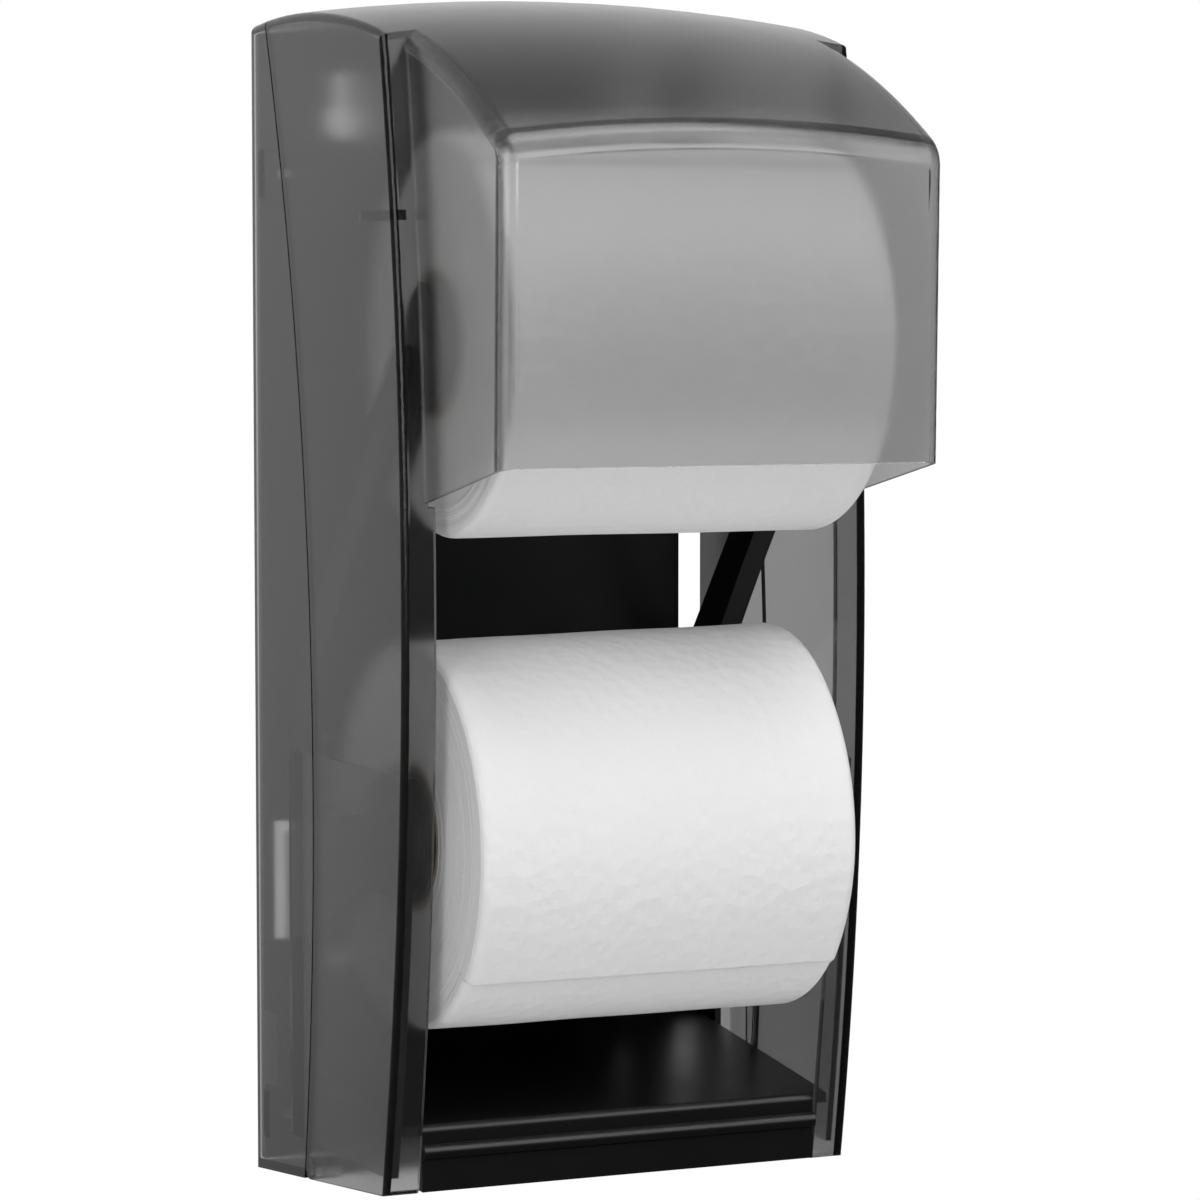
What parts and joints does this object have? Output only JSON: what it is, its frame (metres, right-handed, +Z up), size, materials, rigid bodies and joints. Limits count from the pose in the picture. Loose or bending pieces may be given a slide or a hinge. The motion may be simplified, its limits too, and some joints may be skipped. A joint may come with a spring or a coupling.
{
  "type": "toilet paper dispenser",
  "caption": "Wall-mounted vertical toilet paper dispenser with a smoke translucent hinged cover, an open lower roll over a sloping tray and a reserve roll under a hood.",
  "frame": {"origin": "on the wall plane, midway between the two lower screw holes of the back plate", "axes": "+Z up, +Y into the wall so that the dispenser stands out towards -Y, +X to the right as seen from the room"},
  "size_m": [0.15, 0.1715, 0.346],
  "materials": {
    "smoke_plastic": "polished, translucent smoke",
    "black_plastic": "satin to glossy moulded black",
    "spindle_plastic": "plain moulded",
    "steel": "bright zinc",
    "paper": "soft matt tissue",
    "cardboard": "plain grey-brown board"
  },
  "bodies": {
    "chassis": {"rear_housing": "smoke_plastic", "back_plate": "black_plastic", "base_tray": "black_plastic", "hinge_pin_right": "steel", "hinge_pin_left": "steel", "upper_arm_right": "black_plastic", "upper_arm_left": "black_plastic", "lower_arm_right": "black_plastic", "lower_arm_left": "black_plastic", "upper_spindle_sleeve": "spindle_plastic", "lower_spindle_sleeve": "spindle_plastic", "upper_spindle_spring": "steel", "lower_spindle_spring": "steel", "latch_guide": "black_plastic", "plate_screws": "steel", "arm_screws": "steel", "tray_screws": "steel"},
    "cover": {"cover": "smoke_plastic"},
    "latch": {"latch_slide": "black_plastic"},
    "upper_roll": {"upper_roll_core": "cardboard", "upper_roll_paper": "paper"},
    "lower_roll": {"lower_roll_core": "cardboard", "lower_roll_paper": "paper"},
    "upper_plunger": {"upper_spindle_plunger": "spindle_plastic"},
    "lower_plunger": {"lower_spindle_plunger": "spindle_plastic"}
  },
  "joints": [
    {"name": "cover_hinge", "type": "hinge", "parent": "chassis", "child": "cover", "pos_m": [0, -0.0424, -0.05435], "axis": [1, 0, 0], "range_deg": [0, 75]},
    {"name": "latch_slide", "type": "slide", "parent": "chassis", "child": "latch", "axis": [0, 0, 1], "range_m": [0, 0.004]},
    {"name": "upper_roll_spin", "type": "hinge", "parent": "chassis", "child": "upper_roll", "pos_m": [0, -0.107, 0.18504], "axis": [1, 0, 0], "continuous": true},
    {"name": "lower_roll_spin", "type": "hinge", "parent": "chassis", "child": "lower_roll", "pos_m": [0, -0.082, 0.04664], "axis": [1, 0, 0], "continuous": true},
    {"name": "upper_spindle_plunge", "type": "slide", "parent": "chassis", "child": "upper_plunger", "axis": [-1, 0, 0], "range_m": [0, 0.01], "stiffness_N_per_m": 300, "springref_m": -0.004, "deforming": ["upper_spindle_spring"]},
    {"name": "lower_spindle_plunge", "type": "slide", "parent": "chassis", "child": "lower_plunger", "axis": [-1, 0, 0], "range_m": [0, 0.01], "stiffness_N_per_m": 300, "springref_m": -0.004, "deforming": ["lower_spindle_spring"]}
  ]
}
